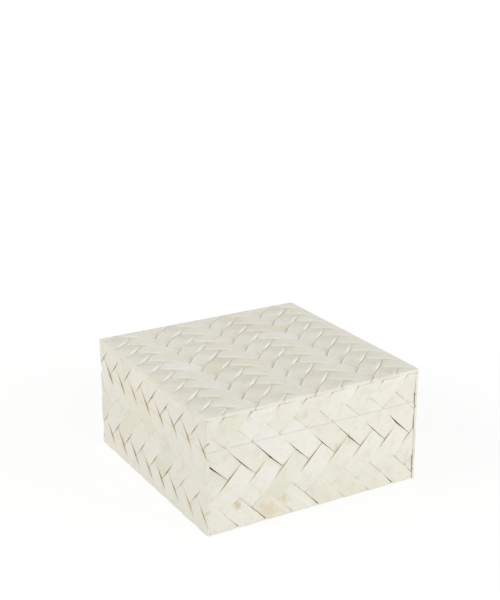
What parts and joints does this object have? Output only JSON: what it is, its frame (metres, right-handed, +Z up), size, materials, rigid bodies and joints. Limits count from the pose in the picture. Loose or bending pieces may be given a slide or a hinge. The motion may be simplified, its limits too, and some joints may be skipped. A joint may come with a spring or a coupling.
{
  "type": "woven box",
  "caption": "Square keepsake box clad in arched bone tiles laid as a herringbone weave, with a lid hinged at the back.",
  "frame": {"origin": "middle of the underside, on the ground", "axes": "+Z up, +Y to the hinged back, +X to the right seen from the front, so -Y faces whoever opens the lid"},
  "size_m": [0.203, 0.203, 0.102],
  "materials": {
    "bone_tile": "satin",
    "carcass_wood": "satin",
    "lining_felt": "matte",
    "foot_felt": "matte",
    "hinge_brass": "satin"
  },
  "bodies": {
    "base": {"base_floor_panel": "carcass_wood", "base_front_wall": "carcass_wood", "base_back_wall": "carcass_wood", "base_left_wall": "carcass_wood", "base_right_wall": "carcass_wood", "base_front_tiles": "bone_tile", "base_back_tiles": "bone_tile", "base_left_tiles": "bone_tile", "base_right_tiles": "bone_tile", "floor_lining": "lining_felt", "base_felt": "foot_felt", "hinge_left_base_leaf": "hinge_brass", "hinge_left_pin": "hinge_brass", "hinge_left_base_screw_1": "hinge_brass", "hinge_left_base_screw_2": "hinge_brass", "hinge_right_base_leaf": "hinge_brass", "hinge_right_pin": "hinge_brass", "hinge_right_base_screw_1": "hinge_brass", "hinge_right_base_screw_2": "hinge_brass"},
    "lid": {"lid_top_panel": "carcass_wood", "lid_front_wall": "carcass_wood", "lid_back_wall": "carcass_wood", "lid_left_wall": "carcass_wood", "lid_right_wall": "carcass_wood", "lid_top_tiles": "bone_tile", "lid_front_tiles": "bone_tile", "lid_back_tiles": "bone_tile", "lid_left_tiles": "bone_tile", "lid_right_tiles": "bone_tile", "lid_lining": "lining_felt", "hinge_left_lid_leaf": "hinge_brass", "hinge_left_lid_screw_1": "hinge_brass", "hinge_left_lid_screw_2": "hinge_brass", "hinge_right_lid_leaf": "hinge_brass", "hinge_right_lid_screw_1": "hinge_brass", "hinge_right_lid_screw_2": "hinge_brass"}
  },
  "joints": [
    {"name": "lid_hinge", "type": "hinge", "parent": "base", "child": "lid", "pos_m": [0, 0.0989, 0.072], "axis": [-1, 0, 0], "range_deg": [0, 100]}
  ]
}
